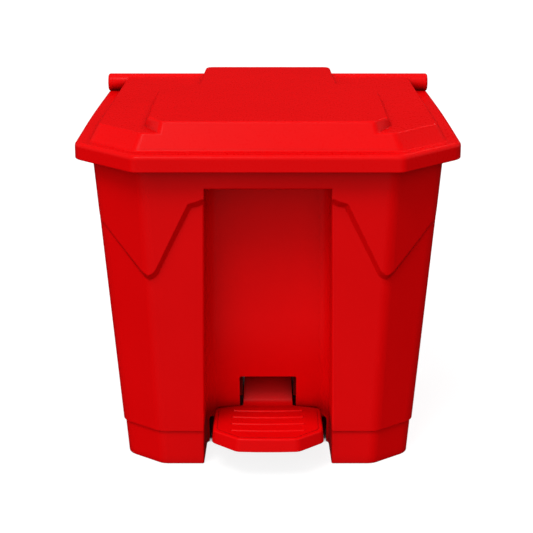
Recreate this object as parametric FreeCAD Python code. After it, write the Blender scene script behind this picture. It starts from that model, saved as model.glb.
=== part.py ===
"""Foot-operated waste bin: moulded body, hinged lid, pedal lever and push rod.

Millimetres. X runs across the bin, -Y is the front, Z is up and the floor is z = 0.
The closed lid's front face is y = -200 and the back of the hinge barrel is y = +200.
"""
import FreeCAD
import Part
import math
import os

V = FreeCAD.Vector

# ---- overall ----
WIDTH = 410.0
DEPTH = 400.0
HEIGHT = 388.0
WALL = 3.0

# ---- body: outside faces at two heights, straight in between ----
BODY_LOW_Z = 41.0
BODY_HIGH_Z = 330.0
FRONT_Y = (-158.0, -178.0)
FRONT_HALF = (118.9, 131.0)
SIDE_X = (162.4, 185.5)
SIDE_Y = (-123.5, -133.0)
REAR_Y = (150.3, 174.0)
REAR_X = (160.0, 182.6)
CORNER_R = 20.0
SIDE_R = 24.0
REAR_R = 26.0
RIM_BOTTOM_Z = 345.0
RIM_TOP_Z = 350.0
RIM_OUT = 8.0
FOOT_TOP_Z = 40.8
FOOT_STEP = 2.0
FLOOR_UNDER_Z = 88.0
FLOOR_TOP_Z = 92.0

# ---- proud front panel with its V points ----
PANEL_PROUD = 5.0
PANEL_SIDE_PROUD = 1.2
PANEL_TOP_Z = 346.0
DIAGONAL = (-0.438, 0.899)
SIDE_SLOPE = (0.666, 0.746)

# ---- front recess for the foot ----
RECESS_TOP_Z = 321.0
RECESS_LOW_Z = 25.0
RECESS_HIGH_Z = 300.0
RECESS_HALF_TOP = 66.6
RECESS_HALF_LOW = 70.8
KICK_TOP = (-122.0, 130.0)
KICK_LOW = (-96.0, 34.0)
KICK_BEND_R = 220.0
WINDOW_HALF = 31.8
WINDOW_TOP_Z = 87.0
OPENING_HALF = 66.9
OPENING_TOP_Z = 35.5

# ---- rear channel for the push rod ----
CHANNEL_HALF = 24.0
CHANNEL_Y = 146.0
CHEEK = 3.5
CHEEK_Y = 176.0

# ---- hinge ----
HINGE_Y = 189.0
HINGE_Z = 369.0
BARREL_R = 11.0
BARREL_INNER_X = 77.0
BARREL_OUTER_X = 194.0
BARREL_END_X = 200.3
HINGE_PIN_R = 3.0
KNUCKLE_X = (40.0, 75.6)
KNUCKLE_R = 9.0
RUNNING = 0.06

# ---- lid ----
LID_REAR_Y = 187.0
FLANGE_BOTTOM_Z = 341.5
FLANGE_TOP_Z = 359.5
LEVEL1_Z = 377.0
LEVEL2_Z = HEIGHT

# ---- pedal lever and push rod ----
TREAD_Z = 48.6
SKIRT_Z = 34.0
NECK_HALF = 28.0
BOLT_Y = (-71.0, -57.0)
PIVOT_Y = -20.0
PIVOT_Z = 63.4
LEVER_TILT = 4.5
LEVER_REACH = 184.0
LEVER_FRONT_Y = -81.0
LEVER_HALF_X = 6.0
LEVER_HALF_Z = 6.4
AXLE_R = 5.0
HUB_R = 10.0
BUSH_R = 7.5
ROD_Y = 164.0
ROD_R = 4.0
ROD_PIN_R = 3.0
LOWER_PIN_Z = 49.0
UPPER_PIN_Z = 354.57
SLOT_HALF = 3.9
FRAME_HALF = 80.0
FRAME_TOE_HALF = 60.0
FRAME_TOE_TOP_Z = 31.0
FRAME_WINDOW_HALF = 34.4
RAIL_X = (30.0, 34.0)
RAIL_Z = (36.0, 76.0)
RAIL_FRONT_Y = -38.0
FRAME_SCREWS = [(-52.0, -65.0), (52.0, -65.0), (-52.0, 100.0), (52.0, 100.0)]
BRACKET_SCREWS = [(-19.0, 156.0), (19.0, 156.0), (-19.0, 175.0), (19.0, 175.0)]


# ------------------------------------------------------------------ outlines
def mirrored(half):
    """Closed symmetric outline from its right half, front to rear; corners are (x, y, radius)."""
    return half + [(-x, y, r) for x, y, r in reversed(half)]


def inset(points, t):
    """The outline moved inwards by t (outwards when negative), corner radii following."""
    n = len(points)
    area = sum(points[i][0] * points[(i + 1) % n][1] - points[(i + 1) % n][0] * points[i][1]
               for i in range(n))
    side = 1.0 if area > 0 else -1.0
    lines = []
    for i in range(n):
        x0, y0, _ = points[i]
        x1, y1, _ = points[(i + 1) % n]
        length = math.hypot(x1 - x0, y1 - y0)
        ux, uy = (x1 - x0) / length, (y1 - y0) / length
        lines.append((x0 - side * uy * t, y0 + side * ux * t, ux, uy))
    moved = []
    for i in range(n):
        ax, ay, ux, uy = lines[i - 1]
        bx, by, vx, vy = lines[i]
        cross = ux * vy - uy * vx
        s = ((bx - ax) * vy - (by - ay) * vx) / cross
        radius = points[i][2] - t * (1.0 if cross * side > 0 else -1.0)
        moved.append((ax + ux * s, ay + uy * s, max(radius, 0.4) if points[i][2] > 0 else 0.0))
    return moved


def loop(points, place):
    """Closed wire with rounded corners; place turns outline (u, v) into a point in space."""
    n = len(points)
    starts, middles, ends = [], [], []
    for i in range(n):
        p = V(points[i][0], points[i][1], 0)
        a = (V(points[i - 1][0], points[i - 1][1], 0) - p).normalize()
        b = (V(points[(i + 1) % n][0], points[(i + 1) % n][1], 0) - p).normalize()
        half = a.getAngle(b) / 2.0
        reach = points[i][2] / math.tan(half)
        bisector = (a + b).normalize()
        centre = p + bisector * (points[i][2] / math.sin(half))
        starts.append(p + a * reach)
        middles.append(centre - bisector * points[i][2])
        ends.append(p + b * reach)
    edges = []
    for i in range(n):
        if points[i][2] > 0:
            arc = [place(q.x, q.y) for q in (starts[i], middles[i], ends[i])]
            edges.append(Part.Arc(*arc).toShape())
        nxt = starts[(i + 1) % n]
        edges.append(Part.makeLine(place(ends[i].x, ends[i].y), place(nxt.x, nxt.y)))
    return Part.Wire(edges)


def flat_loop(points, z):
    """The outline laid flat at height z."""
    return loop(points, lambda u, v: V(u, v, z))


def upright_loop(points, y):
    """The outline (x, z) standing in the plane y."""
    return loop(points, lambda u, v: V(u, y, v))


def loft(*wires):
    """Straight-sided solid through the wires."""
    return Part.makeLoft(list(wires), True, True)


def prism(points, z0, z1):
    """Upright prism of a flat outline."""
    return Part.Face(flat_loop(points, z0)).extrude(V(0, 0, z1 - z0))


def side_prism(points, x0, x1):
    """Prism of a (y, z) outline between x0 and x1."""
    wire = loop(points, lambda u, v: V(x0, u, v))
    return Part.Face(wire).extrude(V(x1 - x0, 0, 0))


def box(x0, x1, y0, y1, z0, z1):
    return Part.makeBox(x1 - x0, y1 - y0, z1 - z0, V(x0, y0, z0))


def rod_x(radius, x0, x1, y, z):
    """Cylinder along X."""
    return Part.makeCylinder(radius, x1 - x0, V(x0, y, z), V(1, 0, 0))


def rod_z(radius, z0, z1, x, y):
    """Cylinder along Z."""
    return Part.makeCylinder(radius, z1 - z0, V(x, y, z0), V(0, 0, 1))


def triangle(a, b, c):
    return Part.Face(Part.makePolygon([a, b, c, a]))


def flip(shape):
    """Mirror image across the middle plane."""
    return shape.mirror(V(0, 0, 0), V(1, 0, 0))


def round_edges(shape, radius, test):
    """Fillet every edge whose inner points all pass the test."""
    picked = []
    for edge in shape.Edges:
        first, last = edge.ParameterRange
        spots = [edge.valueAt(first + (last - first) * share) for share in (0.1, 0.3, 0.5, 0.7, 0.9)]
        if all(test(p) for p in spots):
            picked.append(edge)
    return shape.makeFillet(radius, picked)


def at_height(z):
    return lambda p: abs(p.z - z) < 0.01


# ---------------------------------------------------------------------- body
def between(pair, z):
    """Value at height z of a face given at the low and the high reference height."""
    low, high = pair
    return low + (high - low) * (z - BODY_LOW_Z) / (BODY_HIGH_Z - BODY_LOW_Z)


def body_outline(z, depth=0.0):
    """Body outline at height z, set in by depth."""
    half = [
        (between(FRONT_HALF, z), between(FRONT_Y, z), CORNER_R),
        (between(SIDE_X, z), between(SIDE_Y, z), SIDE_R),
        (between(REAR_X, z), between(REAR_Y, z), REAR_R),
    ]
    return inset(mirrored(half), depth)


def body_loft(z0, z1, depth):
    return loft(flat_loop(body_outline(z0, depth), z0), flat_loop(body_outline(z1, depth), z1))


def on_corner(x, z, out):
    """Point on the front or on its chamfer, at share out of the way to the panel's proud face."""
    edge_x, side_x = between(FRONT_HALF, z), between(SIDE_X, z)
    front_y = between(FRONT_Y, z) - out * PANEL_PROUD
    if x <= edge_x:
        return V(x, front_y, z)
    share = (x - edge_x) / (side_x - edge_x)
    side_y = between(SIDE_Y, z) - out * PANEL_SIDE_PROUD
    return V(x, front_y + (side_y - front_y) * share, z)


def tip_arc(x, z, radius):
    """Rounding of the V point whose sharp corner would be at (x, z), from the front round to the side."""
    inner = V(*DIAGONAL, 0).normalize()
    outer = V(*SIDE_SLOPE, 0).normalize()
    half = inner.getAngle(outer) / 2.0
    centre = V(x, z, 0) + (inner + outer).normalize() * (radius / math.sin(half))
    reach = radius / math.tan(half)
    first = V(x, z, 0) + inner * reach - centre
    last = V(x, z, 0) + outer * reach - centre
    low, high = math.atan2(first.y, first.x), math.atan2(last.y, last.x)
    turns = [low + (high - low) * k / 9.0 for k in range(10)]
    return [(centre.x + radius * math.cos(t), centre.y + radius * math.sin(t)) for t in turns]


def panel_half():
    """Right half of the proud panel's region; its lower edge slopes down to the plain faces."""
    proud = [(-1.0, 309.2), (69.9, 309.2), (75.0, 306.6), (83.2, 304.2)]
    plain = [(-1.0, 304.5), (66.0, 304.5), (71.5, 300.6), (79.9, 298.6)]
    proud += tip_arc(124.7, 218.7, 10.0)
    plain += tip_arc(122.6, 211.7, 10.3)
    proud += [(190.0, 291.0), (196.0, 352.0), (-1.0, 352.0)]
    plain += [(188.0, 285.9), (194.0, 352.0), (-1.0, 352.0)]
    outer, inner = [], []
    for (px, pz), (bx, bz) in zip(proud, plain):
        for ring, share in ((outer, 1.4), (inner, -0.6)):
            x, z = bx + share * (px - bx), bz + share * (pz - bz)
            ring.append(on_corner(x, z, share))
    faces = []
    for i in range(len(outer)):
        j = (i + 1) % len(outer)
        faces.append(triangle(outer[i], outer[j], inner[j]))
        faces.append(triangle(outer[i], inner[j], inner[i]))
        faces.append(triangle(outer[i], outer[j], V(110.0, -270.0, 330.0)))
        faces.append(triangle(inner[i], inner[j], V(80.0, -90.0, 330.0)))
    shell = Part.Shell(Part.makeCompound(faces).Faces)
    shell.sewShape()
    region = Part.Solid(shell)
    if region.Volume < 0:
        region.reverse()
    return region


def panel():
    """Proud panel over the upper front, from side to side."""
    def outline(z):
        half = [
            (between(FRONT_HALF, z), between(FRONT_Y, z) - PANEL_PROUD, CORNER_R),
            (between(SIDE_X, z) + 0.5, between(SIDE_Y, z) - PANEL_SIDE_PROUD, SIDE_R),
            (between(SIDE_X, z) - 4.0, -60.0, 5.0),
        ]
        return flat_loop(mirrored(half), z)
    plate = loft(outline(205.0), outline(PANEL_TOP_Z))
    half = plate.common(panel_half())
    return half.fuse(flip(half))


def recess_half(z):
    """Half width of the recess at its mouth at height z."""
    share = (z - RECESS_LOW_Z) / (RECESS_HIGH_Z - RECESS_LOW_Z)
    return RECESS_HALF_LOW + (RECESS_HALF_TOP - RECESS_HALF_LOW) * share


def recess(spare=0.0):
    """Space of the front recess, or with spare that space grown by a wall thickness."""
    def upright(y, narrower):
        top = RECESS_TOP_Z + spare + (0.0 if y < -150 else -5.0)
        x_top = recess_half(RECESS_TOP_Z) + spare - narrower
        x_low = recess_half(-20.0) + spare - narrower
        half = [(x_low, -20.0, 0.0), (x_top, top, 0.0)]
        return upright_loop(mirrored(half), y)

    taper = loft(upright(-215.0, -0.8), upright(-60.0, 2.4))
    slope = (KICK_LOW[0] - KICK_TOP[0]) / (KICK_TOP[1] - KICK_LOW[1])
    depth = [
        (-230.0, -30.0, 0.0),
        (-230.0, 340.0, 0.0),
        (-128.3 + spare, 340.0, 0.0),
        (KICK_TOP[0] + spare, KICK_TOP[1], KICK_BEND_R),
        (KICK_LOW[0] + slope * (KICK_LOW[1] + 30.0) + spare, -30.0, 0.0),
    ]
    space = taper.common(side_prism(depth, -90.0, 90.0))

    def inner_corner(p):
        return p.y > -129.5 + spare and abs(p.x) > 55.0

    def upright_corner(p):
        return inner_corner(p) and p.z < RECESS_TOP_Z + spare

    corners = [e for e in space.Edges if e.Length > 15.0 and all(
        upright_corner(e.valueAt(t)) for t in e.ParameterRange)]
    return space.makeFillet(11.0 + spare, corners)


def soften_front(shape):
    """Rounds the recess mouth, down both sides and across the top, and the edge the front feet stand on."""
    mouth, feet = [], []
    for edge in shape.Edges:
        p = edge.CenterOfMass
        in_front = abs(p.y - between(FRONT_Y, p.z)) < PANEL_PROUD + 1.5
        beside = abs(abs(p.x) - recess_half(p.z)) < 1.0
        if edge.Length > 40.0 and in_front and (beside or p.z > 315.0) and abs(p.x) < 75.0:
            mouth.append(edge)
    shape = shape.makeFillet(2.0, mouth)
    for edge in shape.Edges:
        if all(abs(edge.valueAt(t).z) < 0.01 for t in edge.ParameterRange) and edge.CenterOfMass.y < -100.0:
            feet.append(edge)
    return shape.makeFillet(1.0, feet)


def bin_body():
    """Container with its rim, front recess, rear channel, feet and hinge knuckles."""
    shape = body_loft(FOOT_TOP_Z, RIM_TOP_Z, 0.0)
    shape = shape.fuse(body_loft(0.0, FOOT_TOP_Z, FOOT_STEP))
    shape = shape.fuse(panel())
    rim_outline = body_outline(RIM_BOTTOM_Z, -RIM_OUT)
    rim_outline = [(x, min(y, REAR_Y[1] + 4.0), r) for x, y, r in rim_outline]
    rim = prism(rim_outline, RIM_BOTTOM_Z, RIM_TOP_Z)
    shape = shape.fuse(rim)
    spine_x = CHANNEL_HALF + CHEEK
    shape = shape.fuse(box(-spine_x, spine_x, 140.0, CHEEK_Y, 0.0, RIM_TOP_Z))

    keep = recess(WALL).fuse(box(-spine_x, spine_x, CHANNEL_Y - WALL, 220.0, -5.0, 400.0))
    inside = body_loft(FLOOR_TOP_Z, RIM_TOP_Z + 5.0, WALL).cut(keep)
    under = body_loft(-5.0, FLOOR_UNDER_Z, WALL + FOOT_STEP).cut(keep)
    shape = shape.cut(inside).cut(under).cut(recess())

    channel = box(-CHANNEL_HALF, CHANNEL_HALF, CHANNEL_Y, 220.0, -5.0, 400.0)
    lever_way = box(-CHANNEL_HALF, CHANNEL_HALF, 130.0, 160.0, -5.0, FLOOR_UNDER_Z)
    guide_slots = [box(-spine_x - 1.0, spine_x + 1.0, 152.0, 166.0, z, z + 6.0)
                   for z in (131.0, 293.0)]
    shape = shape.cut(channel).cut(lever_way)
    for slot in guide_slots:
        shape = shape.cut(slot)

    window = upright_loop(mirrored([(WINDOW_HALF, 20.0, 0.5), (WINDOW_HALF, WINDOW_TOP_Z, 2.0)]),
                          -135.0)
    shape = shape.cut(Part.Face(window).extrude(V(0, 55.0, 0)))
    opening = upright_loop(mirrored([(OPENING_HALF, -10.0, 0.5), (OPENING_HALF, OPENING_TOP_Z, 6.0)]),
                           -110.0)
    shape = shape.cut(Part.Face(opening).extrude(V(0, 30.0, 0)))
    behind_pedal = upright_loop(mirrored([(57.0, 20.0, 0.5), (57.0, 46.0, 4.0)]), -110.0)
    shape = shape.cut(Part.Face(behind_pedal).extrude(V(0, 30.0, 0)))

    for x, y in FRAME_SCREWS:
        shape = shape.fuse(rod_z(6.0, 76.0, FLOOR_UNDER_Z + 1.0, x, y))
        shape = shape.cut(rod_z(2.0, 70.0, 87.0, x, y))
    return soften_front(shape.fuse(knuckles()).removeSplitter())


def knuckles():
    """Pair of hinge eyes standing on the rear rim."""
    web = [
        (168.0, 340.0, 0.5),
        (178.0, 340.0, 0.5),
        (178.0, 350.0, 2.0),
        (197.9, 367.0, 0.5),
        (189.0, 378.0, 0.5),
        (174.5, 362.0, 3.0),
    ]
    eye = side_prism(web, *KNUCKLE_X)
    eye = eye.fuse(rod_x(KNUCKLE_R, KNUCKLE_X[0], KNUCKLE_X[1], HINGE_Y, HINGE_Z))
    eye = eye.cut(rod_x(HINGE_PIN_R, 30.0, 90.0, HINGE_Y, HINGE_Z))
    return eye.fuse(flip(eye))


# --------------------------------------------------------------- under frame
def base_frame():
    """Frame under the raised floor: carries the pedal axle, closes the front below the recess.

    Its toe is narrower than the rest, clear of the recess walls that lean back near the floor.
    """
    front = mirrored([
        (FRAME_TOE_HALF, 2.5, 4.0),
        (FRAME_TOE_HALF, FRAME_TOE_TOP_Z, 3.0),
        (FRAME_HALF, FRAME_TOE_TOP_Z, 3.0),
        (FRAME_HALF, 87.5, 4.0),
    ])
    shape = Part.Face(upright_loop(front, -90.0)).extrude(V(0, 4.0, 0))
    shape = shape.cut(box(-FRAME_WINDOW_HALF, FRAME_WINDOW_HALF, -100.0, -80.0, 12.0, 80.5))
    right = rail()
    shape = shape.fuse(right).fuse(flip(right))
    shape = shape.fuse(box(-34.0, 34.0, 111.0, 115.0, 28.0, 44.0))
    shape = shape.cut(rod_x(AXLE_R, -50.0, 50.0, PIVOT_Y, PIVOT_Z))
    for x, y in FRAME_SCREWS:
        shape = shape.cut(rod_z(2.2, 70.0, 80.0, x, y))
    return shape.removeSplitter()


def rail():
    """Right rail with its hub; in front of the hub it steps outwards, clear of the window."""
    step = RAIL_X[1] - RAIL_X[0] + 1.0
    shape = box(*RAIL_X, RAIL_FRONT_Y, 115.0, *RAIL_Z)
    shape = shape.fuse(box(RAIL_X[0] + step, RAIL_X[1] + step, -90.0, RAIL_FRONT_Y + 4.0, *RAIL_Z))
    shape = shape.fuse(box(RAIL_X[0], RAIL_X[1] + step, RAIL_FRONT_Y, RAIL_FRONT_Y + 4.0, *RAIL_Z))
    shape = shape.fuse(box(RAIL_X[0] + step, 60.0, -90.0, RAIL_FRONT_Y + 4.0, 72.5, RAIL_Z[1]))
    shape = shape.fuse(box(RAIL_X[0], 60.0, RAIL_FRONT_Y, 115.0, 72.5, RAIL_Z[1]))
    return shape.fuse(rod_x(HUB_R, 16.0, RAIL_X[1], PIVOT_Y, PIVOT_Z))


def frame_screw(x, y):
    """Pan head screw driven up into a floor boss."""
    head = rod_z(4.0, 69.7, 72.5, x, y)
    head = round_edges(head, 1.0, at_height(69.7))
    head = head.cut(box(x - 2.6, x + 2.6, y - 0.5, y + 0.5, 69.0, 70.8))
    return head.fuse(rod_z(2.0, 72.5, 86.0, x, y))


def pedal_axle():
    axle = rod_x(AXLE_R, -41.0, 41.0, PIVOT_Y, PIVOT_Z)
    for x in (-38.4, 37.2):
        ring = rod_x(AXLE_R + 1.0, x, x + 1.2, PIVOT_Y, PIVOT_Z)
        axle = axle.cut(ring.cut(rod_x(AXLE_R - 1.0, x, x + 1.2, PIVOT_Y, PIVOT_Z)))
    return axle.makeChamfer(0.6, [e for e in rims(axle) if abs(e.CenterOfMass.x) > 40.9])


def ring_clip(x0, x1, y, z, groove_r, outer_r):
    """Open spring clip seated in a shaft groove, its gap facing down."""
    clip = rod_x(outer_r, x0, x1, y, z)
    clip = clip.cut(rod_x(groove_r, x0 - 1.0, x1 + 1.0, y, z))
    return clip.cut(box(x0 - 1.0, x1 + 1.0, y - groove_r * 0.6, y + groove_r * 0.6, z - 20.0, z))


def axle_bush(side):
    """Flanged plain bush in the lever hub."""
    bush = rod_x(BUSH_R, 1.0, 14.0, PIVOT_Y, PIVOT_Z)
    bush = bush.fuse(rod_x(9.5, 14.0, 15.4, PIVOT_Y, PIVOT_Z))
    bush = bush.cut(rod_x(AXLE_R + RUNNING, 0.0, 20.0, PIVOT_Y, PIVOT_Z))
    return bush if side > 0 else flip(bush)


def rod_guide(z):
    """Guide block snapped between the cheeks of the rear channel."""
    block = mirrored([(CHANNEL_HALF, CHANNEL_Y, 0.5), (CHANNEL_HALF, 166.0, 0.5), (12.0, 172.0, 3.0)])
    shape = prism(block, z, z + 12.0)
    shape = shape.fuse(box(-CHANNEL_HALF - CHEEK, CHANNEL_HALF + CHEEK, 152.0, 166.0, z + 3.0, z + 9.0))
    for x in (-15.5, 15.5):
        shape = shape.cut(box(x - 4.0, x + 4.0, 150.0, 162.0, z - 1.0, z + 9.5))
    return shape.cut(rod_z(ROD_R + RUNNING, z - 1.0, z + 13.0, 0.0, ROD_Y))


# ----------------------------------------------------------------------- lid
def flange_outline():
    return mirrored([
        (138.5, -DEPTH / 2, 12.0),
        (WIDTH / 2 + 0.07, -134.0, 25.0),
        (204.4, 34.0, 6000.0),
        (200.3, LID_REAR_Y, 0.0),
    ])


def level1(top):
    """Raised level one: outline at its foot (359.5) or at its top edge."""
    if top:
        return mirrored([(131.3, -171.0, 10.0), (180.3, -118.0, 16.0), (174.0, LID_REAR_Y, 0.0)])
    return mirrored([(138.0, -181.0, 12.0), (189.6, -129.5, 20.0), (183.3, LID_REAR_Y, 0.0)])


def level2(top):
    """Raised level two with the tongue: outline where it meets level one, or at its top."""
    if top:
        return mirrored([(110.0, -164.71, 6.0), (125.0, -141.5, 9.0), (125.0, 18.5, 8.0),
                         (80.5, 65.5, 8.0), (76.8, 192.5, 9.0)])
    return mirrored([(113.2, -171.0, 7.0), (131.0, -130.5, 11.0), (131.0, 21.5, 9.0),
                     (83.5, 70.0, 8.0), (81.0, 194.0, 10.0)])


def blend(low, high, share):
    """Outline on the straight line from low (share 0) to high (share 1), also beyond."""
    return [(a[0] + (b[0] - a[0]) * share, a[1] + (b[1] - a[1]) * share,
             max(a[2] + (b[2] - a[2]) * share, 0.0)) for a, b in zip(low, high)]


def raised(outline, z_foot, z_top, z_start, depth, drop):
    """Sloped-sided block of a lid level, sunk by drop and set in by depth."""
    low, high = outline(False), outline(True)
    share = (z_start - z_foot) / (z_top - z_foot)
    start = inset(blend(low, high, share), depth)
    end = inset(high, depth)
    return loft(flat_loop(start, z_start - drop), flat_loop(end, z_top - drop))


def lid_skin():
    """Outside of the lid."""
    def around(z):
        return lambda p: abs(p.z - z) < 0.01 and p.y < LID_REAR_Y - 0.1

    def foot_of_level1(p):
        return around(FLANGE_TOP_Z)(p) and p.y > -185.0 and abs(p.x) - p.y < 326.0 and abs(p.x) < 191.0

    flange = prism(flange_outline(), FLANGE_BOTTOM_Z, FLANGE_TOP_Z)
    flange = round_edges(flange, 4.8, around(FLANGE_TOP_Z))
    flange = round_edges(flange, 1.0, around(FLANGE_BOTTOM_Z))
    first = raised(level1, FLANGE_TOP_Z, LEVEL1_Z, 355.0, 0.0, 0.0)
    first = round_edges(first, 3.5, around(LEVEL1_Z))
    shape = round_edges(flange.fuse(first), 2.5, foot_of_level1)
    second = raised(level2, LEVEL1_Z, LEVEL2_Z, 370.0, 0.0, 0.0)
    second = round_edges(second, 3.0, at_height(LEVEL2_Z))
    shape = shape.fuse(second)
    for x0, x1 in ((-BARREL_OUTER_X, -BARREL_INNER_X), (BARREL_INNER_X, BARREL_OUTER_X)):
        shape = shape.fuse(rod_x(BARREL_R, x0, x1, HINGE_Y, HINGE_Z))
    return shape


def lid():
    """Lid shell: flange, two raised levels, tongue and the two hinge barrels."""
    shape = lid_skin()
    shape = shape.cut(prism(inset(flange_outline(), WALL), 330.0, FLANGE_TOP_Z - WALL))
    rear = box(-WIDTH, WIDTH, 175.5, 300.0, 300.0, 400.0)
    shape = shape.cut(raised(level1, FLANGE_TOP_Z, LEVEL1_Z, 355.0, 1.8, WALL).cut(rear))
    shape = shape.cut(raised(level2, LEVEL1_Z, LEVEL2_Z, 365.0, 1.8, WALL))
    shape = shape.cut(box(-197.2, 197.2, 168.0, 205.0, 330.0, FLANGE_TOP_Z - WALL))
    shape = shape.cut(box(-76.4, 76.4, 168.0, 230.0, 330.0, 380.0))
    for x0 in (-BARREL_OUTER_X, BARREL_INNER_X):
        x1 = x0 + BARREL_OUTER_X - BARREL_INNER_X
        shape = shape.cut(rod_x(HINGE_PIN_R + RUNNING, x0 - 1.0, x1 + 1.0, HINGE_Y, HINGE_Z))
    for x0 in (-BARREL_OUTER_X, BARREL_OUTER_X - 8.0):
        shape = shape.cut(rod_x(6.0, x0, x0 + 8.0, HINGE_Y, HINGE_Z))
    for x0 in (-WIDTH / 2, BARREL_OUTER_X):
        shape = shape.cut(rod_x(BARREL_R, x0, x0 + WIDTH / 2 - BARREL_OUTER_X, HINGE_Y, HINGE_Z))
    for x, y in BRACKET_SCREWS:
        boss = rod_z(5.0, 377.0, 386.0, x, y)
        shape = shape.fuse(boss).cut(rod_z(1.75, 376.0, 384.0, x, y))
    return shape.removeSplitter()


def rims(shape):
    """The circular edges of a plain shaft."""
    return [edge for edge in shape.Edges if edge.Curve.TypeId == "Part::GeomCircle"]


def hinge_pin():
    pin = rod_x(HINGE_PIN_R, 38.0, 185.0, HINGE_Y, HINGE_Z)
    return pin.makeChamfer(0.5, rims(pin))


def hinge_end_cap():
    """Rounded plug closing the outer end of a hinge barrel."""
    cap = rod_x(BARREL_R, BARREL_OUTER_X, BARREL_END_X, HINGE_Y, HINGE_Z)
    cap = round_edges(cap, 3.0, lambda p: abs(p.x - BARREL_END_X) < 0.01)
    return cap.fuse(rod_x(6.0, BARREL_OUTER_X - 8.0, BARREL_OUTER_X, HINGE_Y, HINGE_Z))


def rod_bracket():
    """Folded bracket under the tongue with a slot on the line to the hinge axis."""
    shape = prism(mirrored([(26.0, 148.0, 4.0), (26.0, 182.0, 4.0)]), 374.0, 377.0)
    cheek = [
        (153.0, 375.0, 0.5),
        (153.0, 352.0, 6.0),
        (160.0, 345.5, 6.0),
        (172.0, 349.0, 6.0),
        (177.0, 375.0, 0.5),
    ]
    for x0 in (-11.0, 8.0):
        shape = shape.fuse(side_prism(cheek, x0, x0 + 3.0))
    slot = box(-20.0, 20.0, 24.6, 29.3, -SLOT_HALF, SLOT_HALF)
    for reach in (24.6, 29.3):
        slot = slot.fuse(rod_x(SLOT_HALF, -20.0, 20.0, reach, 0.0))
    slot.rotate(V(0, 0, 0), V(1, 0, 0), 210.0)
    slot.translate(V(0, HINGE_Y, HINGE_Z))
    shape = shape.cut(slot)
    for x, y in BRACKET_SCREWS:
        shape = shape.cut(rod_z(2.0, 370.0, 380.0, x, y))
    return shape


def bracket_screw(x, y):
    head = round_edges(rod_z(3.5, 371.6, 374.0, x, y), 0.9, at_height(371.6))
    head = head.cut(box(x - 2.2, x + 2.2, y - 0.45, y + 0.45, 371.0, 372.6))
    return head.fuse(rod_z(1.75, 374.0, 383.0, x, y))


# --------------------------------------------------------------- pedal lever
def pedal_outline(grow):
    """Foot plate outline, grown sideways and forwards, with the start of the neck at its rear."""
    return mirrored([
        (11.0, -198.5 - grow, 90.0),
        (32.2 + grow, -197.4 - grow, 12.0),
        (59.9 + grow, -173.0, 13.0),
        (59.9 + grow, -107.8, 11.5),
        (NECK_HALF + 0.5 * grow, -99.6, 7.5),
        (NECK_HALF + 0.5 * grow, -90.0, 0.0),
    ])


def lever_line(y, above):
    """Height of the lever's centre line at y, plus a distance square to it."""
    tilt = math.radians(LEVER_TILT)
    return PIVOT_Z - (y - PIVOT_Y) * math.tan(tilt) + above / math.cos(tilt)


def pedal():
    """Foot plate with a skirt and a hollow neck that carries the lever."""
    plate = loft(flat_loop(pedal_outline(1.3), SKIRT_Z), flat_loop(pedal_outline(0.0), TREAD_Z))
    plate = round_edges(plate, 2.2, lambda p: abs(p.z - TREAD_Z) < 0.01 and p.y < -90.5)
    hollow = loft(flat_loop(inset(pedal_outline(1.3), WALL), SKIRT_Z - 1.0),
                  flat_loop(inset(pedal_outline(0.0), WALL), TREAD_Z - 3.5))
    lever_top = LEVER_HALF_Z
    neck = side_prism([
        (-112.0, SKIRT_Z, 0.5),
        (-112.0, TREAD_Z, 0.5),
        (-97.0, TREAD_Z, 12.0),
        (-79.0, lever_line(-79.0, lever_top + WALL), 5.0),
        (-46.0, lever_line(-46.0, lever_top + WALL), 0.5),
        (-46.0, lever_line(-46.0, -lever_top), 0.5),
        (-80.0, lever_line(-80.0, -lever_top), 4.0),
        (-95.0, SKIRT_Z, 3.0),
    ], -NECK_HALF - 1.0, NECK_HALF + 1.0)
    sides = loft(flat_loop(mirrored([(NECK_HALF + 0.8, -130.0, 0.0), (NECK_HALF + 0.8, -40.0, 0.0)]), SKIRT_Z),
                 flat_loop(mirrored([(NECK_HALF - 2.3, -130.0, 0.0), (NECK_HALF - 2.3, -40.0, 0.0)]), 90.0))
    shape = plate.fuse(neck.common(sides)).cut(hollow)
    inner = [
        (-125.0, 20.0, 0.5),
        (-125.0, TREAD_Z - 3.5, 0.5),
        (-96.0, TREAD_Z - 3.5, 9.0),
        (-77.5, lever_line(-77.5, lever_top), 2.0),
        (-49.0, lever_line(-49.0, lever_top), 0.5),
        (-49.0, 20.0, 0.5),
    ]
    shape = shape.cut(side_prism(inner, 9.0, 23.7)).cut(side_prism(inner, -23.7, -9.0))
    shape = shape.cut(lever_bar(LEVER_FRONT_Y, 0.0))
    below = [(LEVER_FRONT_Y, 10.0, 0.5), (LEVER_FRONT_Y, lever_line(LEVER_FRONT_Y, 0.0), 0.5),
             (-40.0, lever_line(-40.0, 0.0), 0.5), (-40.0, 10.0, 0.5)]
    shape = shape.cut(side_prism(below, -LEVER_HALF_X, LEVER_HALF_X))
    for y in BOLT_Y:
        shape = shape.cut(rod_z(2.5, 40.0, 90.0, 0.0, y))
    return shape.fuse(ridges()).cut(tread_border()).removeSplitter()


def tread_border():
    """Shallow groove that runs round the tread just inside its edge."""
    rings = [Part.Face(flat_loop(inset(pedal_outline(0.0), depth), TREAD_Z - 0.35)) for depth in (4.2, 5.0)]
    groove = rings[0].extrude(V(0, 0, 2.0)).cut(rings[1].extrude(V(0, 0, 2.0)))
    return groove.cut(box(-80.0, 80.0, -106.0, -80.0, 40.0, 60.0))


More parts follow.
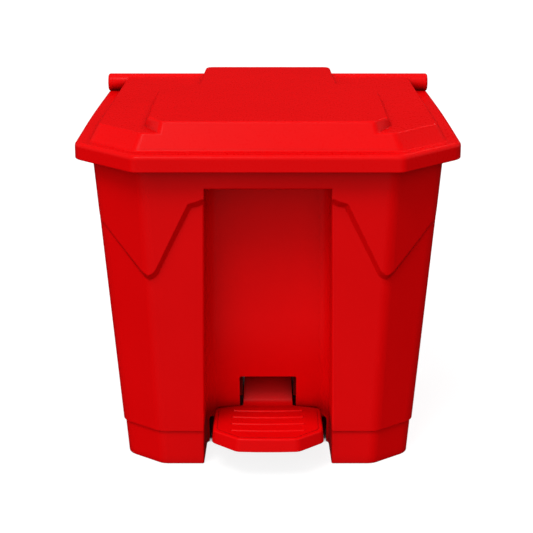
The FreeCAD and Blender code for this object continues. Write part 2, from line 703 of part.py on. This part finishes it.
def ridges():
    """Four raised tread ridges, bowed forward in the middle."""
    bars = []
    for y, half in ((-173.6, 39.6), (-154.6, 39.6), (-135.7, 39.2), (-116.8, 38.3)):
        line = Part.Arc(V(-half, y, TREAD_Z), V(0, y - 2.2, TREAD_Z), V(half, y, TREAD_Z)).toShape()
        start = line.valueAt(line.FirstParameter)
        ahead = line.tangentAt(line.FirstParameter)
        section = Part.Wire(Part.makeCircle(1.9, start - V(0, 0, 0.6), ahead))
        bars.append(Part.Wire(line).makePipeShell([section], True, False))
    shape = bars[0]
    for bar in bars[1:]:
        shape = shape.fuse(bar)
    return shape.cut(box(-60.0, 60.0, -200.0, -100.0, 30.0, TREAD_Z - 1.5))


def lever_bar(y0, y1):
    """Straight bar along the lever line between y0 and y1."""
    bar = box(-LEVER_HALF_X, LEVER_HALF_X, y0 - PIVOT_Y, y1 - PIVOT_Y, -LEVER_HALF_Z, LEVER_HALF_Z)
    bar.rotate(V(0, 0, 0), V(1, 0, 0), -LEVER_TILT)
    bar.translate(V(0, PIVOT_Y, PIVOT_Z))
    return bar


def lever_arm():
    """Steel lever with its hub and the slotted rear end."""
    shape = lever_bar(LEVER_FRONT_Y, 173.0)
    shape = shape.fuse(rod_x(HUB_R, -14.0, 14.0, PIVOT_Y, PIVOT_Z))
    shape = shape.cut(rod_x(BUSH_R, -20.0, 20.0, PIVOT_Y, PIVOT_Z))
    slot = box(-10.0, 10.0, LEVER_REACH - 0.3, LEVER_REACH + 0.9, -3.5, 3.5)
    for reach in (LEVER_REACH - 0.3, LEVER_REACH + 0.9):
        slot = slot.fuse(rod_x(3.5, -10.0, 10.0, reach, 0.0))
    slot.rotate(V(0, 0, 0), V(1, 0, 0), -LEVER_TILT)
    slot.translate(V(0, PIVOT_Y, PIVOT_Z))
    shape = shape.cut(slot)
    for y in BOLT_Y:
        shape = shape.cut(rod_z(2.5, 40.0, 90.0, 0.0, y))
    return shape


def hexagon(across, z0, z1, x, y):
    """Upright hexagonal prism, given its width across flats."""
    reach = across / math.sqrt(3.0)
    corners = [V(x + reach * math.cos(math.radians(60 * k)), y + reach * math.sin(math.radians(60 * k)), z0)
               for k in range(7)]
    return Part.Face(Part.makePolygon(corners)).extrude(V(0, 0, z1 - z0))


def pedal_bolt(y):
    """Bolt up through the lever and the neck, head below."""
    low = lever_line(y, -LEVER_HALF_Z) - 0.25
    high = lever_line(y, LEVER_HALF_Z + WALL)
    return hexagon(8.0, low - 3.5, low, 0.0, y).fuse(rod_z(2.5, low, high + 6.0, 0.0, y))


def pedal_nut(y):
    base = lever_line(y, LEVER_HALF_Z + WALL) + 0.35
    return hexagon(8.0, base, base + 4.0, 0.0, y).cut(rod_z(2.5, base - 1.0, base + 6.0, 0.0, y))


# ------------------------------------------------------------------ push rod
def push_rod():
    rod = rod_z(ROD_R, 66.0, 346.0, 0.0, ROD_Y)
    return rod.makeChamfer(0.5, rims(rod))


def rod_end_upper():
    """Eye on top of the push rod."""
    eye = [(ROD_Y - 7.0, 336.0, 1.5), (ROD_Y - 7.0, UPPER_PIN_Z + 7.0, 6.5),
           (ROD_Y + 7.0, UPPER_PIN_Z + 7.0, 6.5), (ROD_Y + 7.0, 336.0, 1.5)]
    shape = side_prism(eye, -7.0, 7.0)
    shape = shape.cut(rod_x(ROD_PIN_R, -10.0, 10.0, ROD_Y, UPPER_PIN_Z))
    return shape.cut(rod_z(ROD_R, 330.0, 346.0, 0.0, ROD_Y))


def rod_end_lower():
    """Fork at the foot of the push rod, straddling the lever."""
    fork = [(ROD_Y - 7.0, 41.5, 6.5), (ROD_Y - 7.0, 76.0, 1.5),
            (ROD_Y + 7.0, 76.0, 1.5), (ROD_Y + 7.0, 41.5, 6.5)]
    shape = side_prism(fork, -11.0, 11.0)
    shape = shape.cut(box(-7.0, 7.0, 140.0, 190.0, 30.0, 62.0))
    shape = shape.cut(rod_x(ROD_PIN_R, -20.0, 20.0, ROD_Y, LOWER_PIN_Z))
    return shape.cut(rod_z(ROD_R, 66.0, 80.0, 0.0, ROD_Y))


def rod_pin(z):
    """Clevis pin with a groove near each end."""
    pin = rod_x(ROD_PIN_R, -15.0, 15.0, ROD_Y, z)
    for x in (-13.0, 12.0):
        ring = rod_x(ROD_PIN_R + 1.0, x, x + 1.0, ROD_Y, z)
        pin = pin.cut(ring.cut(rod_x(ROD_PIN_R - 0.6, x, x + 1.0, ROD_Y, z)))
    return pin


def pin_clips(z):
    clip = ring_clip(12.0, 13.0, ROD_Y, z, ROD_PIN_R - 0.6, 5.6)
    return Part.makeCompound([clip, flip(clip)])


# -------------------------------------------------------------------- export
def main():
    os.makedirs("parts", exist_ok=True)
    nodes = {
        "bin_body": bin_body(),
        "base_frame": base_frame(),
        "base_frame_screws": Part.makeCompound([frame_screw(x, y) for x, y in FRAME_SCREWS]),
        "rod_guide_upper": rod_guide(290.0),
        "rod_guide_lower": rod_guide(128.0),
        "hinge_pin_right": hinge_pin(),
        "hinge_pin_left": flip(hinge_pin()),
        "hinge_end_cap_right": hinge_end_cap(),
        "hinge_end_cap_left": flip(hinge_end_cap()),
        "pedal_axle": pedal_axle(),
        "axle_clip_right": ring_clip(37.2, 38.4, PIVOT_Y, PIVOT_Z, AXLE_R - 1.0, 8.0),
        "axle_clip_left": ring_clip(-38.4, -37.2, PIVOT_Y, PIVOT_Z, AXLE_R - 1.0, 8.0),
        "axle_bush_right": axle_bush(1),
        "axle_bush_left": axle_bush(-1),
        "lid": lid(),
        "rod_bracket": rod_bracket(),
        "rod_bracket_screws": Part.makeCompound([bracket_screw(x, y) for x, y in BRACKET_SCREWS]),
        "pedal": pedal(),
        "lever_arm": lever_arm(),
        "pedal_bolts": Part.makeCompound([pedal_bolt(y) for y in BOLT_Y]),
        "pedal_nuts": Part.makeCompound([pedal_nut(y) for y in BOLT_Y]),
        "push_rod": push_rod(),
        "rod_end_upper": rod_end_upper(),
        "rod_end_lower": rod_end_lower(),
        "upper_rod_pin": rod_pin(UPPER_PIN_Z),
        "lower_rod_pin": rod_pin(LOWER_PIN_Z),
        "upper_pin_clips": pin_clips(UPPER_PIN_Z),
        "lower_pin_clips": pin_clips(LOWER_PIN_Z),
    }
    for name, shape in nodes.items():
        shape.exportStep("parts/" + name + ".step")


main()
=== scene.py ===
import math

import bpy
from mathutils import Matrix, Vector

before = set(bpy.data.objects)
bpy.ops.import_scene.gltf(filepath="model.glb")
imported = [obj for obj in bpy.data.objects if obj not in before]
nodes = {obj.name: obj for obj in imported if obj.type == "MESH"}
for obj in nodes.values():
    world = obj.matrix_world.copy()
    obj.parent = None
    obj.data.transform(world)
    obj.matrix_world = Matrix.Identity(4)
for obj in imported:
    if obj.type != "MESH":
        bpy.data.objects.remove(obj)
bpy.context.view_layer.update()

# ---- colours, linear ----
WHITE = (1.0, 1.0, 1.0)
BLACK = (0.0, 0.0, 0.0)
RED_DEEP = (0.690, 0.0009, 0.0016)
RED_LIGHT = (0.715, 0.0012, 0.0020)
RED_FLOW = (0.670, 0.0008, 0.0014)
# painted highlight colour for rounded edges
RED_PAINTED_HIGHLIGHT = (0.86, 0.012, 0.014)
# painted shade colour for crevices, gaps and recesses
RED_PAINTED_SHADE = (0.16, 0.0002, 0.0004)
NYLON_DARK = (0.022, 0.022, 0.024)
NYLON_LIGHT = (0.034, 0.034, 0.036)
NYLON_EDGE = (0.10, 0.10, 0.105)
STEEL_EDGE = (0.85, 0.85, 0.86)
FLOOR_DARK = (0.20, 0.20, 0.20)
FLOOR_LIGHT = (0.22, 0.22, 0.22)

# ---- shared by the materials ----
EDGE_SAMPLES = 8
EDGE_FLAT = 0.99
EDGE_SHARP = 0.75
# how the painted shade in crevices and gaps is measured
SHADE_SAMPLES = 8
SHADE_SHUT = 0.12
RED_SPECULAR = 0.05

# ---- stage, metres ----
FLOOR_HALF = 12.0
FLOOR_GLOW = 0.86
# the glow is out inside the first number of each pair and full beyond the second
COVERED_X = (0.128, 0.150)
COVERED_FRONT_Y = (-0.080, -0.094)
COVERED_REAR_Y = (0.145, 0.165)
WALL_RADIUS = 11.9
WALL_HEIGHT = 14.0
WALL_SIDES = 64

# ---- brightness of the surround ----
SKY_TOP = 0.95
SKY_FRONT = 0.28
SKY_SIDE = 0.55
SKY_REST = 0.02
# where each share starts and is full, along one axis of the unit direction
SKY_HORIZON_Z = (-0.15, 0.10)
SKY_FRONT_Y = (0.10, -0.60)
SKY_SIDE_X = (0.55, 0.90)
SKY_TOP_POWER = 3.0

# ---- camera: metres, degrees and millimetres; the shift is a share of the width ----
CAMERA_PLACE = (0.0, -1.688, 0.6854)
CAMERA_DOWN = 16.5765
CAMERA_LENS = 101.3133
CAMERA_SENSOR = 36.0
CAMERA_SHIFT = -0.0026266
CAMERA_NEAR = 0.05


# --------------------------------------------------------------- node trees
class Graph:
    """Short-hand for building a node tree."""

    def __init__(self, tree):
        self.tree = tree

    def add(self, kind):
        return self.tree.nodes.new("ShaderNode" + kind)

    def feed(self, socket, value):
        """Put a number or a colour on the socket itself, or link another node to it."""
        if isinstance(value, tuple):
            socket.default_value = (*value, 1.0)
        elif isinstance(value, float):
            socket.default_value = value
        else:
            self.tree.links.new(value, socket)

    def axes(self, vector):
        """X, Y and Z of a vector."""
        node = self.add("SeparateXYZ")
        self.feed(node.inputs[0], vector)
        return node.outputs

    def ramp(self, value, low, high, out_low=0.0, out_high=1.0):
        """Linear step from out_low at low to out_high at high, held level outside them."""
        node = self.add("MapRange")
        self.feed(node.inputs["Value"], value)
        self.feed(node.inputs["From Min"], low)
        self.feed(node.inputs["From Max"], high)
        self.feed(node.inputs["To Min"], out_low)
        self.feed(node.inputs["To Max"], out_high)
        return node.outputs[0]

    def math(self, kind, a, b=0.0):
        node = self.add("Math")
        node.operation = kind
        self.feed(node.inputs[0], a)
        self.feed(node.inputs[1], b)
        return node.outputs[0]


class Material(Graph):
    """A principled material and the procedural parts it is built from."""

    def __init__(self, name):
        self.mat = bpy.data.materials.new(name)
        self.mat.use_nodes = True
        super().__init__(self.mat.node_tree)
        self.tree.nodes.clear()
        out = self.add("OutputMaterial")
        self.bsdf = self.add("BsdfPrincipled")
        self.feed(out.inputs[0], self.bsdf.outputs[0])
        self.coord = self.add("TexCoord").outputs["Object"]

    def set(self, socket, value):
        self.feed(self.bsdf.inputs[socket], value)

    def noise(self, scale, detail=3.0, rough=0.55, stretch=None):
        node = self.add("TexNoise")
        self.feed(node.inputs["Scale"], scale)
        self.feed(node.inputs["Detail"], detail)
        self.feed(node.inputs["Roughness"], rough)
        vector = self.coord
        if stretch:
            mapping = self.add("Mapping")
            mapping.inputs["Scale"].default_value = stretch
            self.feed(mapping.inputs["Vector"], self.coord)
            vector = mapping.outputs[0]
        self.feed(node.inputs["Vector"], vector)
        return node.outputs["Fac"]

    def mix(self, share, a, b):
        """Colour a where share is 0 and b where it is 1."""
        node = self.add("Mix")
        node.data_type = "RGBA"
        for place, value in ((0, share), (6, a), (7, b)):
            self.feed(node.inputs[place], value)
        return node.outputs[2]

    def bump(self, height, strength, distance, normal):
        node = self.add("Bump")
        self.feed(node.inputs["Strength"], strength)
        self.feed(node.inputs["Distance"], distance)
        self.feed(node.inputs["Height"], height)
        self.feed(node.inputs["Normal"], normal)
        return node.outputs[0]

    def edge(self, radius):
        """0 on flat faces, rising to 1 on edges, and the rounded normal."""
        bevel = self.add("Bevel")
        bevel.samples = EDGE_SAMPLES
        self.feed(bevel.inputs["Radius"], radius)
        dot = self.add("VectorMath")
        dot.operation = "DOT_PRODUCT"
        self.feed(dot.inputs[0], bevel.outputs[0])
        self.feed(dot.inputs[1], self.add("NewGeometry").outputs["Normal"])
        return self.ramp(dot.outputs["Value"], EDGE_FLAT, EDGE_SHARP), bevel.outputs[0]

    def painted_shade(self, reach, open_from):
        """Painted shade mask: 1 on faces at least open_from open within reach, falling to 0 in narrow
        gaps, where shade is painted in.
        """
        node = self.add("AmbientOcclusion")
        node.samples = SHADE_SAMPLES
        self.feed(node.inputs["Distance"], reach)
        return self.ramp(node.outputs["AO"], SHADE_SHUT, open_from)


# ---------------------------------------------------------------- materials
def red_plastic(name, rough, reach, open_from):
    """Moulded plastic: faint flow clouds, fine grain, painted highlights on edges, painted shade in
    crevices and gaps.
    """
    m = Material(name)
    on_edge, rounded = m.edge(radius=0.0011)
    cloud = m.ramp(m.noise(scale=7.0), 0.35, 0.65)
    flow = m.ramp(m.noise(scale=30.0, stretch=(1.0, 1.0, 0.25)), 0.35, 0.75, 0.0, 0.3)
    base = m.mix(cloud, RED_DEEP, RED_LIGHT)
    base = m.mix(flow, base, RED_FLOW)
    # painted highlight: edges are made lighter where rounded edges would catch the light
    base = m.mix(m.math("MULTIPLY", on_edge, 0.45), base, RED_PAINTED_HIGHLIGHT)
    # painted shade: the colour darkens in crevices, gaps and recesses where shade falls
    m.set("Base Color", m.mix(m.painted_shade(reach, open_from), RED_PAINTED_SHADE, base))
    scuff = m.ramp(m.noise(scale=55.0, detail=6.0, rough=0.7), 0.50, 0.74, 0.0, 0.03)
    fine = m.ramp(m.noise(scale=420.0, detail=2.0), 0.3, 0.7, rough - 0.02, rough + 0.03)
    m.set("Roughness", m.math("ADD", fine, scuff))
    m.set("Normal", m.bump(m.noise(scale=2600.0, detail=2.0), 0.02, 0.00005, rounded))
    m.set("Specular IOR Level", RED_SPECULAR)
    return m.mat


def nylon(name):
    """Black moulded nylon: faint specks, satin, lighter edges."""
    m = Material(name)
    on_edge, rounded = m.edge(radius=0.0006)
    speck = m.ramp(m.noise(scale=700.0), 0.45, 0.75)
    base = m.mix(speck, NYLON_DARK, NYLON_LIGHT)
    m.set("Base Color", m.mix(m.math("MULTIPLY", on_edge, 0.5), base, NYLON_EDGE))
    m.set("Roughness", m.ramp(m.noise(scale=180.0, detail=4.0), 0.3, 0.7, 0.42, 0.60))
    m.set("Normal", m.bump(m.noise(scale=1800.0, detail=2.0), 0.25, 0.00008, rounded))
    return m.mat


def steel(name, light, rough, stretch):
    """Drawn or rolled steel: fine lines along the stock, dull spots, brighter edges."""
    m = Material(name)
    on_edge, rounded = m.edge(radius=0.0005)
    lines = m.noise(scale=900.0, rough=0.6, stretch=stretch)
    stain = m.ramp(m.noise(scale=60.0, detail=5.0), 0.45, 0.75)
    clean = (light, light, light * 1.01)
    stained = (light * 0.80, light * 0.79, light * 0.78)
    base = m.mix(stain, clean, stained)
    m.set("Base Color", m.mix(m.math("MULTIPLY", on_edge, 0.4), base, STEEL_EDGE))
    dull = m.math("MULTIPLY", stain, 0.12)
    m.set("Roughness", m.math("ADD", m.ramp(lines, 0.3, 0.7, rough - 0.06, rough + 0.08), dull))
    m.set("Normal", m.bump(lines, 0.15, 0.00005, rounded))
    m.set("Metallic", 1.0)
    return m.mat


def dress(material, *names):
    """Give the named CAD nodes the material."""
    for name in names:
        for slot in nodes[name].material_slots:
            slot.material = material


# reach and open_from set how far the painted shade spreads; the pedal's long reach paints shade on its
# neck inside the window
dress(red_plastic("red_body", rough=0.36, reach=0.024, open_from=0.62), "bin_body", "base_frame")
dress(red_plastic("red_lid", rough=0.28, reach=0.020, open_from=0.80),
      "lid", "hinge_end_cap_right", "hinge_end_cap_left")
dress(red_plastic("red_pedal", rough=0.34, reach=0.060, open_from=0.80), "pedal")
dress(nylon("black_nylon"), "rod_guide_upper", "rod_guide_lower", "axle_bush_right", "axle_bush_left",
      "rod_end_upper", "rod_end_lower")
dress(steel("drawn_steel_x", light=0.60, rough=0.30, stretch=(0.05, 1.0, 1.0)),
      "hinge_pin_right", "hinge_pin_left", "pedal_axle", "upper_rod_pin", "lower_rod_pin")
dress(steel("drawn_steel_z", light=0.60, rough=0.30, stretch=(1.0, 1.0, 0.05)), "push_rod")
dress(steel("zinc_plate", light=0.52, rough=0.42, stretch=(1.0, 0.08, 1.0)), "rod_bracket", "lever_arm")
dress(steel("zinc_fastener", light=0.50, rough=0.36, stretch=(1.0, 1.0, 1.0)),
      "base_frame_screws", "rod_bracket_screws", "pedal_bolts", "pedal_nuts", "axle_clip_right",
      "axle_clip_left", "upper_pin_clips", "lower_pin_clips")


# -------------------------------------------------------------------- stage
def scenery(name, points, faces, material, shadow=True):
    """Stage piece that no diffuse or glossy ray sees, so it lights nothing."""
    mesh = bpy.data.meshes.new(name)
    mesh.from_pydata(points, [], faces)
    obj = bpy.data.objects.new(name, mesh)
    bpy.context.scene.collection.objects.link(obj)
    obj.data.materials.append(material.mat)
    obj.visible_diffuse = False
    obj.visible_glossy = False
    obj.visible_shadow = shadow


def floor():
    """Pale glowing floor, larger than any view of it; the glow stops under the bin."""
    m = Material("pale_floor")
    m.set("Base Color", m.mix(m.ramp(m.noise(scale=3.0), 0.4, 0.6), FLOOR_DARK, FLOOR_LIGHT))
    m.set("Roughness", 0.9)
    m.set("Specular IOR Level", 0.0)
    m.set("Emission Color", WHITE)
    x, y, _ = m.axes(m.coord)
    across = m.ramp(m.math("ABSOLUTE", x), COVERED_X[1], COVERED_X[0])
    from_front = m.ramp(y, COVERED_FRONT_Y[1], COVERED_FRONT_Y[0])
    from_rear = m.ramp(y, COVERED_REAR_Y[1], COVERED_REAR_Y[0])
    covered = m.math("MULTIPLY", across, m.math("MULTIPLY", from_front, from_rear))
    m.set("Emission Strength", m.math("MULTIPLY", m.math("SUBTRACT", 1.0, covered), FLOOR_GLOW))
    h = FLOOR_HALF
    scenery("floor", [(-h, -h, 0), (h, -h, 0), (h, h, 0), (-h, h, 0)], [(0, 1, 2, 3)], m)


def backdrop():
    """Round white wall at the floor's edge."""
    m = Material("white_wall")
    m.set("Base Color", BLACK)
    m.set("Specular IOR Level", 0.0)
    m.set("Emission Color", WHITE)
    m.set("Emission Strength", 1.0)
    turns = [2.0 * math.pi * k / WALL_SIDES for k in range(WALL_SIDES)]
    points = [(WALL_RADIUS * math.cos(t), WALL_RADIUS * math.sin(t), z)
              for z in (0.0, WALL_HEIGHT) for t in turns]
    faces = []
    for k in range(WALL_SIDES):
        nxt = (k + 1) % WALL_SIDES
        faces.append((k, nxt, WALL_SIDES + nxt, WALL_SIDES + k))
    scenery("backdrop", points, faces, m, shadow=False)


def sky():
    """Soft studio surround: bright overhead, dimmer in front and at the sides, dark low behind."""
    world = bpy.data.worlds.new("studio")
    world.use_nodes = True
    g = Graph(world.node_tree)
    x, y, z = g.axes(g.add("TexCoord").outputs["Generated"])
    upward = g.math("POWER", g.math("MAXIMUM", z), SKY_TOP_POWER)
    overhead = g.math("MULTIPLY", upward, SKY_TOP)
    above = g.ramp(z, *SKY_HORIZON_Z)
    front = g.math("MULTIPLY", g.ramp(y, *SKY_FRONT_Y, 0.0, SKY_FRONT), above)
    side = g.math("MULTIPLY", g.ramp(g.math("ABSOLUTE", x), *SKY_SIDE_X, 0.0, SKY_SIDE), above)
    total = g.math("ADD", g.math("ADD", overhead, front), g.math("ADD", side, SKY_REST))
    background = world.node_tree.nodes["Background"]
    g.feed(background.inputs["Color"], WHITE)
    g.feed(background.inputs["Strength"], total)
    bpy.context.scene.world = world


def sun(name, azimuth, elevation, strength, softness, glossy=True):
    """Distant soft lamp; azimuth 0 is straight in front of the bin, positive towards +X."""
    data = bpy.data.lights.new(name, "SUN")
    data.energy = strength
    data.angle = math.radians(softness)
    obj = bpy.data.objects.new(name, data)
    az, el = math.radians(azimuth), math.radians(elevation)
    towards = Vector((math.sin(az) * math.cos(el), -math.cos(az) * math.cos(el), math.sin(el)))
    obj.rotation_euler = towards.to_track_quat("Z", "Y").to_euler()
    obj.visible_glossy = glossy
    bpy.context.scene.collection.objects.link(obj)


floor()
backdrop()
sky()
sun("key", azimuth=-24.0, elevation=58.0, strength=1.5, softness=22.0)
sun("front", azimuth=-15.0, elevation=11.0, strength=1.45, softness=100.0, glossy=False)
sun("back", azimuth=155.0, elevation=32.0, strength=0.9, softness=20.0, glossy=False)


# ------------------------------------------------------------------- camera
def camera():
    data = bpy.data.cameras.new("camera")
    data.sensor_width = CAMERA_SENSOR
    data.lens = CAMERA_LENS
    data.shift_x = CAMERA_SHIFT
    data.clip_start = CAMERA_NEAR
    obj = bpy.data.objects.new("camera", data)
    obj.location = CAMERA_PLACE
    obj.rotation_euler = (math.radians(90.0 - CAMERA_DOWN), 0.0, 0.0)
    bpy.context.scene.collection.objects.link(obj)
    bpy.context.scene.camera = obj


camera()
bpy.context.scene.view_settings.view_transform = "Standard"
